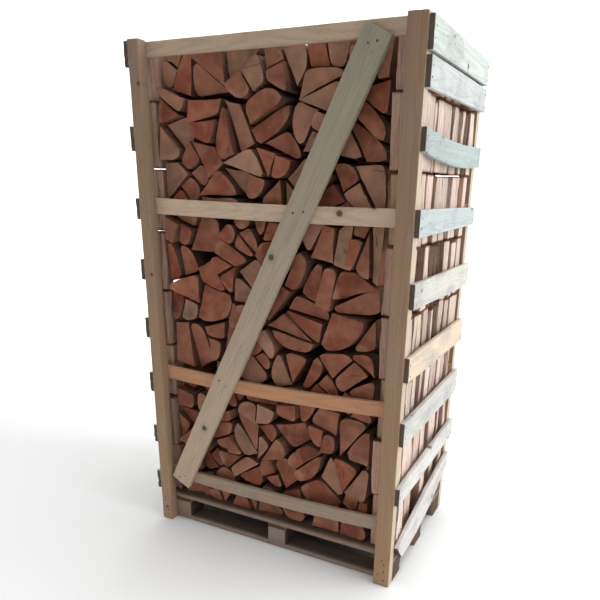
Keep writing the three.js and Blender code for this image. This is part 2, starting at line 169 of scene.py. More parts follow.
class Shader:
    """A material whose nodes are made by one method."""

    def __init__(self, name):
        self.material = bpy.data.materials.new(name)
        self.material.use_nodes = True
        self.tree = self.material.node_tree
        self.surface = self.tree.nodes["Principled BSDF"]

    def node(self, kind, inputs, **settings):
        """The outputs of a new node with these inputs and settings."""
        node = self.tree.nodes.new(kind)
        for key, value in settings.items():
            setattr(node, key, value)
        for key, value in inputs.items():
            if isinstance(value, Field):
                self.tree.links.new(value.socket, node.inputs[key])
            else:
                node.inputs[key].default_value = value
        return [Field(self, output) for output in node.outputs]

    def attribute(self, name):
        """The named attribute's Color, Vector and Fac."""
        return self.node("ShaderNodeAttribute", {}, attribute_name=name)

    def wood(self):
        """The place in the wood, its tint, and its three marks."""
        return self.attribute("grain")[1], self.attribute("tint")[0], self.parts(self.attribute("marks")[1])

    def place(self):
        """The Object coordinates."""
        return self.node("ShaderNodeTexCoord", {})[3]

    def parts(self, vector):
        """The three numbers of a vector."""
        return self.node("ShaderNodeSeparateXYZ", {0: vector})

    def joined(self, *numbers):
        """The vector of two or three numbers."""
        return self.node("ShaderNodeCombineXYZ", dict(enumerate(numbers)))[0]

    def length(self, vector):
        return self.node("ShaderNodeVectorMath", {0: vector}, operation="LENGTH")[1]

    def scaled(self, vector, scale):
        """The vector or colour times another one, part by part."""
        return self.node("ShaderNodeVectorMath", {0: vector, 1: scale}, operation="MULTIPLY")[0]

    def dim(self, amount, colour):
        """The colour times a number that varies."""
        return self.scaled(colour, self.joined(amount, amount, amount))

    def mix(self, amount, first, second):
        return self.node("ShaderNodeMix", {0: amount, 6: first, 7: second}, data_type="RGBA")[2]

    def noise(self, vector, scale, detail=2.0, roughness=0.5):
        """Noise from about 0 to 1. scale says how often it varies in a metre along each axis."""
        inputs = {
            "Vector": self.scaled(vector, scale), "Scale": 1.0, "Detail": detail, "Roughness": roughness}
        return self.node("ShaderNodeTexNoise", inputs)[0]

    def depth_inside(self, half_width, half_depth):
        """How far each place lies inside the upright box of these half sizes round the origin."""
        across, back, _ = self.parts(self.place())
        return (half_width - across.math("ABSOLUTE")).math("MINIMUM", half_depth - back.math("ABSOLUTE"))

    def finish(self, colour, roughness, height, depth):
        """The material with this colour and roughness, and bumps of this height times depth."""
        normal = self.node("ShaderNodeBump", {"Height": height, "Distance": depth, "Strength": 1.0})[0]
        for key, value in {"Base Color": colour, "Roughness": roughness, "Normal": normal}.items():
            self.tree.links.new(value.socket, self.surface.inputs[key])
        self.surface.inputs["Specular IOR Level"].default_value = 0.25
        return self.material


def opaque(colour, amount=1.0):
    """Four numbers for a colour socket: the colour times amount, and full alpha."""
    return (colour[0] * amount, colour[1] * amount, colour[2] * amount, 1.0)


def board_material(name, weather, knot_radius, shade_and_grime_inside=None):
    """Sawn softwood: growth rings round a pith below the board, fibres along it, knots and grey weather.

    weather goes from 0 to 1, and a knot's radius is a share of the cell that it lies in. Painted shade, with
    some grime, darkens what lies more than a few millimetres inside the half width and half depth that the
    last argument gives."""
    ring_rate = 1150.0
    cells = (3.4, 0.0, 3.0)
    shader = Shader(name)
    grain, tint, (bark, end, _) = shader.wood()

    wander = shader.noise(grain, (5.0, 5.0, 1.1))
    radius = shader.length(shader.scaled(grain, (1.0, 1.0, 0.0))) + wander * 0.05
    ring = (radius * ring_rate).math("SINE").rise(-0.2, 1.0)
    fibre = shader.noise(grain, (420.0, 420.0, 9.0), 3.0, 0.6)
    streak = shader.noise(grain, (60.0, 60.0, 2.2))
    cloud = shader.noise(grain, (9.0, 9.0, 5.0), 3.0, 0.6)

    across, _, along = shader.parts(shader.scaled(grain, cells))
    inputs = {"Vector": shader.joined(across, along), "Scale": 1.0}
    from_knot = shader.node("ShaderNodeTexVoronoi", inputs, voronoi_dimensions="2D")[0]
    from_knot = from_knot + (cloud - 0.5) * 0.03
    knot = 1.0 - from_knot.rise(knot_radius * 0.55, knot_radius)
    halo = 1.0 - from_knot.rise(knot_radius * 0.9, knot_radius * 2.2)

    shade = 0.86 + streak * 0.22 + (fibre - 0.5) * 0.24 - ring * 0.10 - halo * 0.12
    colour = shader.dim(shade, tint)
    colour = shader.mix(knot * 0.85, colour, (0.075, 0.038, 0.020, 1.0))
    grey = shader.dim(0.65 + fibre * 0.6, (0.34, 0.35, 0.335))
    colour = shader.mix(cloud.rise(0.45, 0.72) * weather, colour, grey)
    speck = shader.noise(grain, (130.0, 130.0, 38.0), 2.0, 0.7).rise(0.60, 0.70) * cloud.rise(0.38, 0.60)
    colour = shader.mix(speck * (0.30 + 0.5 * weather), colour, (0.06, 0.055, 0.045, 1.0))
    colour = shader.mix(end * 0.94, colour, shader.dim(0.6 + streak * 0.8, (0.085, 0.048, 0.028)))
    colour = shader.mix(bark, colour, shader.dim(0.4 + fibre * 1.1, (0.13, 0.082, 0.050)))
    if shade_and_grime_inside:
        # Painted shade: what lies inside the pallet is drawn dark, as if in the shade there, with some grime.
        shade_and_grime = shader.depth_inside(*shade_and_grime_inside).rise(0.002, 0.030) * 0.52
        colour = shader.mix(shade_and_grime, colour, (0.036, 0.026, 0.020, 1.0))

    height = fibre * 0.6 + ring * 0.15 + streak * 0.6 - knot * 0.5 + bark * cloud * 3.0
    return shader.finish(colour, 0.72 + fibre * 0.18, height, 0.0011)


def firewood_material():
    """Split wood: torn fibres on the sides, rings, rays and saw marks on the ends, and rough bark."""
    ring_rate = 2100.0
    shader = Shader("split_firewood")
    grain, tint, (bark, end, rim) = shader.wood()
    side_tint = shader.attribute("side_tint")[0]
    across, up, along = shader.parts(grain)

    from_pith = shader.length(shader.scaled(grain, (1.0, 1.0, 0.0)))
    wander = shader.noise(grain, (16.0, 16.0, 2.0))
    ring = ((from_pith + wander * 0.012) * ring_rate).math("SINE").rise(-0.6, 1.0)
    fan = shader.joined(up.math("ARCTAN2", across) * 15.0, from_pith * 9.0, along * 0.35)
    ray = shader.node("ShaderNodeTexNoise", {"Vector": fan, "Scale": 1.0, "Detail": 1.0})[0]
    check = ray.rise(0.70, 0.76) * from_pith.rise(0.0, 0.02)
    blotch = shader.noise(grain, (22.0, 22.0, 2.0), 3.0, 0.6)
    patch = shader.noise(grain, (11.0, 11.0, 1.0))
    saw = shader.noise(grain, (70.0, 900.0, 1.0), 2.0, 0.6)
    pore = shader.noise(grain, (900.0, 900.0, 1.0), 1.0, 0.7)

    end_shade = 0.42 + blotch * 0.70 + patch * 0.55 + (pore - 0.5) * 0.22 - ring * 0.08 + (saw - 0.5) * 0.22
    end_colour = shader.dim(end_shade - check * 0.5, tint)
    paler = shader.dim(end_shade, (0.325, 0.148, 0.088))
    end_colour = shader.mix(patch.rise(0.42, 0.66) * 0.40, end_colour, paler)
    sapwood = (rim + (blotch - 0.5) * 0.3).rise(0.72, 0.88) * 0.34
    end_colour = shader.mix(sapwood, end_colour, shader.dim(end_shade, (0.39, 0.205, 0.13)))
    end_colour = shader.mix(bark * 0.8, end_colour, (0.055, 0.034, 0.022, 1.0))

    fibre = shader.noise(grain, (330.0, 330.0, 7.0), 3.0, 0.65)
    strip = shader.noise(grain, (75.0, 75.0, 2.5), 2.0, 0.6)
    side_shade = 0.55 + strip * 0.65 + (fibre - 0.5) * 0.75
    side_colour = shader.dim(side_shade, side_tint)
    side_colour = shader.mix(strip.rise(0.57, 0.72) * 0.5, side_colour, shader.dim(0.5, side_tint))
    tear = shader.noise(grain, (170.0, 170.0, 9.0), 3.0, 0.7).rise(0.60, 0.67)
    side_colour = shader.mix(tear * 0.75, side_colour, (0.10, 0.055, 0.038, 1.0))
    crust = shader.noise(grain, (90.0, 90.0, 28.0), 4.0, 0.7)
    side_colour = shader.mix(bark, side_colour, shader.dim(0.35 + crust * 1.3, (0.14, 0.080, 0.055)))

    colour = shader.mix(end, side_colour, end_colour)
    side_height = fibre + strip * 1.6 + bark * crust * 3.0
    end_height = saw * 0.35 + pore * 0.15 + ring * 0.08 - check * 0.9
    height = end * end_height + (1.0 - end) * side_height
    return shader.finish(colour, 0.76 + fibre * 0.14, height, 0.0014)


def nail_material():
    """Dull steel with rust."""
    shader = Shader("nail_steel")
    rust = shader.noise(shader.place(), (240.0, 240.0, 240.0), 3.0, 0.6)
    colour = shader.mix(rust.rise(0.4, 0.65), (0.10, 0.095, 0.09, 1.0), (0.085, 0.038, 0.018, 1.0))
    shader.surface.inputs["Metallic"].default_value = 0.6
    return shader.finish(colour, 0.45 + rust * 0.4, rust, 0.0003)


def ripple(places, pitch, seed):
    """A smooth random height from about -1 to 1: sines with random directions and phases, in three octaves.

    pitch is the size of its waves along each axis."""
    draw = np.random.default_rng(seed)
    total = np.zeros(places.shape[:-1])
    for octave in range(3):
        for _ in range(5):
            direction = draw.normal(size=3)
            direction /= np.linalg.norm(direction)
            wave = places @ (direction * 2.0 ** octave * 2.0 * math.pi / np.asarray(pitch))
            total += np.sin(wave + draw.uniform(0.0, 2.0 * math.pi)) * 0.6 ** octave
    return total / 4.0


def ring_quads(count, around):
    """The quads that join each of count rings of points to the next."""
    step, place = np.meshgrid(np.arange(count - 1), np.arange(around), indexing="ij")
    here = step * around + place
    beside = step * around + (place + 1) % around
    return np.stack([here, beside, beside + around, here + around], axis=-1).reshape(-1, 4)


def tube_points(rings):
    """Places or other values on rings (tubes, rings, around, 3), then those at the middles of each tube's
    first and last ring."""
    tubes = len(rings)
    middles = rings[:, [0, -1]].mean(axis=2)
    return np.concatenate([rings.reshape(tubes, -1, 3), middles], axis=1).reshape(-1, 3)


def tube_faces(tubes, count, around):
    """The quads of closed tubes of count rings, and the triangles that close their ends as fans."""
    place = np.arange(around)
    after = (place + 1) % around
    first = np.stack([np.full(around, count * around), after, place], axis=-1)
    top = (count - 1) * around
    last = np.stack([np.full(around, count * around + 1), top + place, top + after], axis=-1)
    start = (np.arange(tubes) * (count * around + 2))[:, None, None]
    quads = (start + ring_quads(count, around)).reshape(-1, 4)
    fans = (start + np.concatenate([first, last])).reshape(-1, 3)
    return quads, fans


def new_piece(name, rings, attributes, material, nodes, sharp=38.0):
    """One object of closed tubes in place of the nodes, with an attribute for each entry of attributes. Edges
    that turn by more than sharp degrees stay hard."""
    points = tube_points(rings)
    quads, fans = tube_faces(*rings.shape[:3])
    mesh = bpy.data.meshes.new(name)
    corners = np.concatenate([quads.ravel(), fans.ravel()]).astype(np.int32)
    starts = np.concatenate([np.arange(len(quads)) * 4, len(quads) * 4 + np.arange(len(fans)) * 3])
    mesh.vertices.add(len(points))
    mesh.vertices.foreach_set("co", points.astype(np.float32).ravel())
    mesh.loops.add(len(corners))
    mesh.loops.foreach_set("vertex_index", corners)
    mesh.polygons.add(len(starts))
    mesh.polygons.foreach_set("loop_start", starts.astype(np.int32))
    mesh.update(calc_edges=True)
    mesh.polygons.foreach_set("use_smooth", np.ones(len(starts), dtype=bool))
    for key, values in attributes.items():
        layer = mesh.attributes.new(key, "FLOAT_VECTOR", "POINT")
        layer.data.foreach_set("vector", tube_points(values).astype(np.float32).ravel())
    mesh.set_sharp_from_angle(angle=math.radians(sharp))
    mesh.materials.append(material_named(material))
    piece = bpy.data.objects.new(name, mesh)
    bpy.context.scene.collection.objects.link(piece)
    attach(piece, "root")
    if nodes:
        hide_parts(*nodes)
    return piece


def node_points(node):
    """The corners of a node's mesh, (corners, 3)."""
    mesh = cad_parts[node].data
    flat = np.empty(len(mesh.vertices) * 3, dtype=np.float32)
    mesh.vertices.foreach_get("co", flat)
    return flat.reshape(-1, 3).astype(float)


def node_triangles(node):
    """The corners of a node's triangles, (triangles, 3, 3)."""
    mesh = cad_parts[node].data
    mesh.calc_loop_triangles()
    flat = np.empty(len(mesh.loop_triangles) * 3, dtype=np.int32)
    mesh.loop_triangles.foreach_get("vertices", flat)
    return node_points(node)[flat.reshape(-1, 3)]


def board_section():
    """Round a board's section: where each point lies as a share of the half sizes, which way it is rounded
    off, and which corner it belongs to (-1 on a flat). The wide faces have five points."""
    rows = []
    for corner, (side, face) in enumerate([(1, -1), (1, 1), (-1, 1), (-1, -1)]):
        start = math.atan2(face, side) - math.pi / 4
        for turn in (0.0, math.pi / 4, math.pi / 2):
            rows.append((side, face, math.cos(start + turn), math.sin(start + turn), corner))
        if corner % 2:
            rows += [(side * share, face, 0, face, -1) for share in np.linspace(0.624, -0.624, 5)]
        else:
            rows.append((side, 0, side, 0, -1))
    return np.array(rows, dtype=float)


SECTION = board_section()


def edge_line(corners, side, along):
    """One edge of a board at each share along it: its place along the board and its place across.

    The edge's own corners are those on its side of the line between the middles of the board's ends, and
    the edge is the curve of second degree or less through them."""
    end_zone = 0.1
    first, last = corners[:, 2].min(), corners[:, 2].max()
    near_first = corners[corners[:, 2] < first + end_zone, 0].mean()
    near_last = corners[corners[:, 2] > last - end_zone, 0].mean()
    middle = near_first + (near_last - near_first) * (corners[:, 2] - first) / (last - first)
    edge = corners[(corners[:, 0] - middle) * side > 0.0]
    stations = np.unique(np.round(edge[:, 2], 4))
    curve = np.polyfit(edge[:, 2], edge[:, 0], min(2, len(stations) - 1))
    run = (stations[0] + (stations[-1] - stations[0]) * along)[:, None]
    return run, np.polyval(curve, run)


def board(node, run, across, material, tint, settings, far_tint=None, lit_side=0.0, wane=0.0,
          jag=0.0015, bark=0.0):
    """A sawn board in place of a node: a rounded section carried along run, whose two edges are the node's.

    Its colour goes from tint at its start to far_tint, if that is given, and towards a paler tint on the side
    across that has the sign of the argument after far_tint: painted light, that side drawn as if lit. Wane
    takes wood off its lower outer corner, bark darkens both outer corners where it does, and jag is the depth
    of its ragged ends."""
    least_wear, most_worn_share = 0.0006, 0.45
    seed = sum(ord(letter) * (place + 3) for place, letter in enumerate(node))
    draw = np.random.default_rng(seed)
    axes = np.stack([across, np.cross(run, across), run])
    corners = node_points(node) @ axes.T
    _, near, first = corners.min(axis=0)
    _, far, last = corners.max(axis=0)
    length = last - first

    count = max(6, int(length / settings.station_spacing))
    bevel = settings.edge_wear * 0.5
    along = np.concatenate([
        [0.0, bevel / length], np.linspace(0.0, 1.0, count + 2)[1:-1], [1.0 - bevel / length, 1.0]])
    low_run, low = edge_line(corners, -1.0, along)
    high_run, high = edge_line(corners, 1.0, along)
    centre, half = (high + low) / 2, (high - low) / 2
    level, thick = (far + near) / 2, (far - near) / 2
    side, face, turn_side, turn_face, corner = SECTION.T

    places = np.zeros((len(along), 4, 3))
    places[..., 0] = first + length * along[:, None]
    places[..., 1] = np.arange(4) * 9.0
    wear = settings.edge_wear * (1.0 + 0.7 * ripple(places, (0.23, 1.7, 1.0), seed))
    wear = np.maximum(wear, least_wear)
    if wane:
        wear[:, 3:] += wane * np.clip(ripple(places[:, :1], (0.62, 1.0, 1.0), seed + 1) + 0.35, 0.0, 1.0)
    wear = np.minimum(wear, most_worn_share * thick)
    radius = np.where(corner < 0, 0.0, wear[:, np.maximum(corner, 0).astype(int)])
    u = centre + side * (half - radius) + turn_side * radius
    v = level + face * (thick - radius) + turn_face * radius

    w = low_run + (high_run - low_run) * (u - low) / (high - low)
    ragged = jag * ripple(np.stack([u, v, w], axis=-1) * [1, 1, 0], (0.021, 0.017, 1.0), seed + 2)
    w[:2] += np.abs(ragged[:2])
    w[-2:] -= np.abs(ragged[-2:])
    ends = [0, -1]
    u[ends] = centre[ends] + (u[ends] - centre[ends]) * (1.0 - bevel / half[ends])
    v[ends] = level + (v[ends] - level) * (1.0 - bevel / thick)

    waves = ripple(np.stack([u, v, w], axis=-1), (0.05, 0.05, 0.31), seed + 3)
    dip = settings.roughness_depth * (np.minimum(waves, 1.0) - 1.0) / 2
    u = u + turn_side * dip
    v = v + turn_face * dip

    places = np.stack([u, v, w], axis=-1)
    pith = np.array([draw.uniform(-0.03, 0.03) + centre.mean(), near - draw.uniform(0.02, 0.09), 0.0])
    grain = places - pith + [0.0, 0.0, draw.uniform(0.0, 40.0)]
    marks = np.zeros_like(grain)
    marks[ends, :, 1] = 1.0
    if bark:
        outer = (corner == 3) | (corner == 0)
        marks[..., 0] = np.clip(wear.max(axis=1, keepdims=True) / (wane + 1e-6) * bark, 0, 1) * outer
    share = ((w - first) / length)[..., None]
    colour = np.array(tint) * (1.0 - share) + np.array(far_tint or tint) * share
    colour = colour * draw.uniform(0.92, 1.08) * draw.uniform(0.98, 1.02, 3)
    # Painted light: one side across is drawn towards the paler outer side colour, as if lit.
    paler = np.maximum(turn_side * lit_side, 0.0)[None, :, None]
    colour = colour + (np.array(settings.lit_side_tint) - colour) * paler
    attributes = {"grain": grain[None], "marks": marks[None], "tint": colour[None]}
    return new_piece(f"{node}_timber", (places @ axes)[None], attributes, material, [node])


def log_faces(node, wall, reach):
    """The flat face of each log that stands out of a stack, as a corner list turning left, and its depth.

    Each log ends at a depth of its own, within reach of the longest, so the triangles at one depth are one
    face. Where a longer neighbour covers a corner, the face keeps its hull, and its smallest corners are
    cut off."""
    most_corners = 5
    flatness = 1e-5
    depth_step = 2e-5
    triangles = node_triangles(node) @ wall.T
    depths = triangles[..., 2]
    flat = (np.ptp(depths, axis=1) < flatness) & (depths.mean(axis=1) > depths.max() - reach)
    triangles = triangles[flat]
    steps, owner = np.unique(np.round(triangles[..., 2].mean(axis=1) / depth_step), return_inverse=True)
    faces = []
    for log, step in enumerate(steps):
        corners = np.unique(np.round(triangles[owner == log][..., :2].reshape(-1, 2), 5), axis=0)
        corners = corners[convex_hull_2d(corners.tolist())]
        while len(corners) > most_corners:
            after = np.roll(corners, -1, axis=0) - corners
            before = np.roll(after, 1, axis=0)
            size = before[:, 0] * after[:, 1] - before[:, 1] * after[:, 0]
            corners = np.delete(corners, np.argmin(size), axis=0)
        faces.append((corners, step * depth_step))
    return faces


def along_line(line, count):
    """count points evenly spaced along a line of points, its two ends included."""
    step = np.linalg.norm(np.diff(line, axis=0), axis=1)
    place = np.concatenate([[0.0], np.cumsum(step)])
    wanted = np.linspace(0.0, place[-1], count)
    return np.stack([np.interp(wanted, place, line[:, axis]) for axis in (0, 1)], axis=1)


def bark_curve(corners, chain):
    """The round bark side through the corners in chain: the first and last are drawn back along their
    edges, and cutting all corners three times at a quarter of each leg rounds the rest."""
    drawn_back = 0.33
    before, after = corners[chain[0] - 1], corners[(chain[-1] + 1) % len(corners)]
    first = corners[chain[0]] + drawn_back * (before - corners[chain[0]])
    last = corners[chain[-1]] + drawn_back * (after - corners[chain[-1]])
    line = np.concatenate([[first], corners[chain], [last]])
    for _ in range(3):
        near = 0.75 * line[:-1] + 0.25 * line[1:]
        far = 0.25 * line[:-1] + 0.75 * line[1:]
        inner = np.stack([near, far], axis=1).reshape(-1, 2)[1:-1]
        line = np.concatenate([line[:1], inner, line[-1:]])
    return line


def section_outline(corners, chain, count, draw):
    """A log's section as count points that turn left, and 1 for each point on bark.

    chain names the corners of the bark side in order, or none where no bark is left. The other sides are
    split faces: straight lines, a little hollow, between corners that are worn by about two millimetres."""
    worn = 0.0022
    bark_share = 0.42
    total = len(corners)
    lines, bark = [], []
    turns = [*corners, corners[0]]
    left = count
    if chain:
        curve = bark_curve(corners, chain)
        around = round(count * bark_share)
        lines.append(along_line(curve, around))
        bark.append(np.ones(around))
        rest = [(chain[-1] + 1 + step) % total for step in range(total - len(chain))]
        turns = [curve[-1], *corners[rest], curve[0]]
        left = count - around
    turns = np.array(turns)
    legs = np.diff(turns, axis=0)
    lengths = np.linalg.norm(legs, axis=1)
    share = np.maximum(2, np.floor(left * lengths / lengths.sum())).astype(int)
    share[np.argmax(lengths)] += left - share.sum()
    for start, leg, length, number in zip(turns[:-1], legs, lengths, share):
        place = np.linspace(worn / length, 1.0 - worn / length, number)[:, None]
        inward = np.array([-leg[1], leg[0]]) * draw.uniform(-0.008, 0.028)
        lines.append(start + leg * place + inward * 4.0 * place * (1.0 - place))
        bark.append(np.zeros(number))
    return np.concatenate(lines), np.concatenate(bark)


def bark_chain(corners, draw):
    """Which corners of a lying log's end are round with bark: in a triangle the two that face the sharpest
    one, otherwise the flattest one with one or both neighbours, and in one log of ten none."""
    edges = np.roll(corners, -1, axis=0) - corners
    heading = np.arctan2(edges[:, 1], edges[:, 0])
    turn = (heading - np.roll(heading, 1)) % (2 * math.pi)
    total = len(corners)
    if draw.random() < 0.10:
        return []
    if total == 3:
        sharpest = int(np.argmax(turn))
        return [(sharpest + 1) % 3, (sharpest + 2) % 3]
    flattest = int(np.argmin(turn))
    if draw.random() < 0.6:
        return [(flattest - 1) % total, flattest, (flattest + 1) % total]
    return [flattest, (flattest + 1) % total]


def log_rings(logs, stations, roughness, seed):
    """Rings of split logs along their own axis, (logs, rings, around, 3): across, across and along.

    A log's section is carried along it, tapers, drifts sideways and dips where the wood tore. Each sawn end
    has two smaller rings, on a plane with a slight slant that fades along the log."""
    outlines = logs["outline"]
    count, around, _ = outlines.shape
    middle = outlines.mean(axis=1, keepdims=True)
    cap = [0.5, 0.965]
    scales = np.concatenate([cap, np.ones(len(stations)), cap[::-1]])
    shares = np.concatenate([np.zeros(len(cap)), stations, np.ones(len(cap))])
    back = (1.0 - shares)[None, :, None, None]
    size = scales[None, :, None, None] * (1.0 + logs["taper"][:, None, None, None] * back)
    section = middle[:, None] + (outlines - middle)[:, None] * size
    section = section + logs["drift"][:, None, None] * back
    length = logs["start"][:, None] + (logs["stop"] - logs["start"])[:, None] * shares[None]
    lean = ((section - middle[:, None]) * logs["slant"][:, None, None]).sum(axis=-1)
    near_end = np.abs(2.0 * shares - 1.0)[None, :, None] ** 8 * np.sign(shares - 0.5)[None, :, None]
    height = length[..., None] + (lean - np.abs(lean).max(axis=(1, 2), keepdims=True)) * near_end
    places = np.concatenate([section, height[..., None]], axis=-1)

    tangent = np.roll(section, -1, axis=2) - np.roll(section, 1, axis=2)
    outward = np.stack([tangent[..., 1], -tangent[..., 0]], axis=-1)
    outward /= np.linalg.norm(outward, axis=-1, keepdims=True) + 1e-9
    scatter = np.arange(count)[:, None, None, None] * np.array([3.7, 2.3, 1.9])
    dip = ripple(places + scatter, (0.034, 0.034, 0.42), seed)
    dip += 0.6 * ripple(places + scatter, (0.014, 0.014, 0.19), seed + 1)
    on_side = (scales == 1.0)[None, :, None]
    places[..., :2] += outward * (roughness * (dip - 0.8) * on_side)[..., None]
    from_end = np.arange(len(scales))
    on_end = np.minimum(from_end, from_end[::-1]) <= len(cap)
    return places, on_end[None, :, None], on_side


def wall_basis(face):
    """Rows across, up and out of a wall, right-handed."""
    return np.array([np.cross(ALONG_Z, OUTWARD[face]), ALONG_Z, OUTWARD[face]])


def lying_logs(node, wall, settings, draw):
    """The logs of a stack from the faces of their ends. They reach in nearly as far as the node does."""
    low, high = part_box(node)
    length = high[1] - low[1]
    logs = []
    for corners, depth in log_faces(node, wall, reach=0.045):
        outline, bark = section_outline(corners, bark_chain(corners, draw), settings.outline_points, draw)
        if bark.any():
            from_bark = np.linalg.norm(corners - outline[bark > 0].mean(axis=0), axis=1)
            pith = corners[int(np.argmax(from_bark))]
        else:
            pith = corners.mean(axis=0) + draw.uniform(-0.08, 0.08, 2)
        logs.append({
            "outline": outline, "bark": bark * (draw.random() < 0.8), "pith": pith,
            "start": depth - length * draw.uniform(0.84, 0.90), "stop": depth,
            "taper": draw.uniform(0.04, 0.18), "drift": draw.uniform(-0.008, 0.008, 2),
            "slant": draw.uniform(-0.17, 0.17, 2)})
    return logs


def standing_logs(node, wall, settings, draw):
    """The logs that stand on end, from their outer faces. Each section reaches in nearly as far as the node
    does. Its outer side is round with bark, flat, or a blunt ridge, and flat in the last log of a row."""
    low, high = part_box(node)
    reach = high[0] - low[0]
    row_end = high[1] - 0.03
    kinds = ["round", "flat", "ridge"]
    logs = []
    for corners, depth in log_faces(node, wall, reach=0.024):
        foot = corners[:, 1] < corners[:, 1].mean()
        left, right = corners[~foot, 0].min(), corners[~foot, 0].max()
        middle, width = (left + right) / 2, right - left
        at_foot = corners[foot, 0]
        inner = depth - reach * draw.uniform(0.90, 0.96)
        kind = kinds[draw.choice(3, p=[0.10, 0.65, 0.25])]
        if abs(corners[:, 0]).max() > row_end:
            kind = "flat"
        tail_left = left + width * draw.uniform(0.0, 0.16)
        tail_right = right - width * draw.uniform(0.0, 0.16)
        if kind == "round":
            face = [(depth - 0.014, left), (depth, middle), (depth - 0.014, right)]
        elif kind == "flat":
            face = [(depth - draw.uniform(0.0, 0.007), left), (depth - draw.uniform(0.0, 0.007), right)]
        else:
            face = [(depth - draw.uniform(0.004, 0.014), left),
                    (depth, left + width * draw.uniform(0.25, 0.75)),
                    (depth - draw.uniform(0.008, 0.020), right)]
        section = np.array(face + [(inner, tail_right), (inner, tail_left)])
        chain = [0, 1, 2] if kind == "round" else []
        outline, bark = section_outline(section, chain, settings.outline_points, draw)
        logs.append({
            "outline": outline, "bark": bark, "pith": np.array([inner, middle + draw.uniform(-0.03, 0.03)]),
            "start": corners[:, 1].min(), "stop": corners[:, 1].max(),
            "taper": (at_foot.max() - at_foot.min()) / width - 1.0,
            "drift": np.array([0.0, at_foot.mean() - middle]),
            "slant": draw.uniform(-0.015, 0.015, 2)})
    return logs


def firewood_piece(name, node, logs, basis, stations, tints, roughness, settings, seed):
    """All logs of one stack as one mesh of closed tubes, with their colours and their place in the wood.

    A log's sides go from the first of tints at its outermost to the second a few centimetres further in:
    painted shade in the gaps between the logs, with the outermost faces drawn paler as if lit.
    What would reach past the node's box is pressed flat against it, each log up to 2 mm further in."""
    top_bay = 1.5
    painted_shade_depth = 0.03
    draw = np.random.default_rng(seed + 100)
    stack = {key: np.array([log[key] for log in logs], dtype=float) for key in logs[0]}
    count = len(logs)
    places, on_end, on_side = log_rings(stack, np.asarray(stations), roughness, seed)

    grain = places.copy()
    grain[..., :2] -= stack["pith"][:, None, None]
    grain[..., 2] += draw.uniform(0.0, 60.0, count)[:, None, None]
    marks = np.zeros_like(grain)
    marks[..., 0] = stack["bark"][:, None] * on_side
    marks[..., 1] = on_end
    from_pith = np.linalg.norm(grain[..., :2], axis=-1)
    marks[..., 2] = from_pith / from_pith.max(axis=(1, 2), keepdims=True)

    heart, sap, dark = np.array([settings.heart_tint, settings.sap_tint, settings.dark_tint])
    choice = draw.random((count, 1))
    blend = draw.random((count, 1))
    upright = basis[2, 2] > 0.0
    high_up = (stack["outline"][:, :, 1].mean(axis=1)[:, None] > top_bay) & (not upright)
    end_tint = heart + (sap - heart) * 0.40 * blend
    pale_share = np.where(high_up, 0.55, 0.20)
    end_tint = np.where(choice < pale_share, heart + (sap - heart) * (0.6 + 0.5 * blend), end_tint)
    end_tint = np.where(choice > 0.88, heart + (dark - heart) * blend, end_tint)
    # The ends of standing logs are drawn at 0.55 of their colour: painted shade against the top light on
    # them.
    end_tint = end_tint * draw.uniform(0.82, 1.18, (count, 1)) * (0.55 if upright else 1.0)
    side = draw.uniform(0.74, 1.14, (count, 1)) * draw.uniform(0.97, 1.03, (count, 3))
    outermost = stack["outline"][:, :, 0].max(axis=1)[:, None, None]
    # Painted shade: a side is drawn darker the further in it lies from the log's outermost point.
    painted_shade_share = np.clip((outermost - places[..., 0]) / painted_shade_depth, 0.0, 1.0)[..., None]
    outer, inner = np.array(tints)
    attributes = {
        "grain": grain, "marks": marks,
        "tint": np.broadcast_to(end_tint[:, None, None], grain.shape),
        "side_tint": side[:, None, None] * (outer + (inner - outer) * painted_shade_share)}
    low, high = np.array(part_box(node))
    inset = draw.uniform(0.0, 0.002, count)[:, None, None, None]
    inside = np.clip(places @ basis, low + inset, high - inset)
    return new_piece(name, inside, attributes, "split_firewood", [node], sharp=32.0)


def nail_heads(name, places, face, settings):
    """Low domed heads, level with the wood: rings round each place that step in as they rise."""
    draw = np.random.default_rng(len(places))
    outward = OUTWARD[face]
    beside = np.cross(outward, [0.3, 0.5, 0.8])
    beside /= np.linalg.norm(beside)
    above = np.cross(outward, beside)
    angle = np.linspace(0, 2 * math.pi, 11)[:-1]
    circle = np.cos(angle)[:, None] * beside + np.sin(angle)[:, None] * above
    profile = [(0.95, -0.0022), (1.0, -0.0006), (0.86, -0.0001), (0.40, 0.0)]
    size = settings.nail_radius * draw.uniform(0.8, 1.1, len(places))
    rings = np.stack([
        np.asarray(places)[:, None] + circle[None] * (size * scale)[:, None, None] + outward * rise
        for scale, rise in profile], axis=1)
    return new_piece(name, rings, {}, "nail_steel", [])


MATERIALS = {}


def material_named(name):
    """The material of that name, made when it is first asked for."""
    # The weather and the knots' radius of each kind of board, and the half sizes inside which the pallet is
    # drawn darker: painted shade, with some grime.
    boards = {
        "post_timber": (0.12, 0.030),
        "rail_timber": (0.05, 0.050),
        "old_rail_timber": (0.50, 0.036),
        "slat_timber": (0.55, 0.040),
        "pallet_timber": (0.30, 0.036, (0.600, 0.355)),
    }
    others = {"split_firewood": firewood_material, "nail_steel": nail_material}
    if name not in MATERIALS:
        MATERIALS[name] = others[name]() if name in others else board_material(name, *boards[name])
    return MATERIALS[name]


def numbered(stem):
    """The nodes whose names start with stem, in order."""
    return sorted(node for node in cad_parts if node.startswith(stem))


def outer_side(node, face):
    """Where along its axis a node's side lies that faces as the wall does."""
    low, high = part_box(node)
    axis = int(np.argmax(np.abs(OUTWARD[face])))
    return high[axis] if OUTWARD[face][axis] > 0.0 else low[axis]


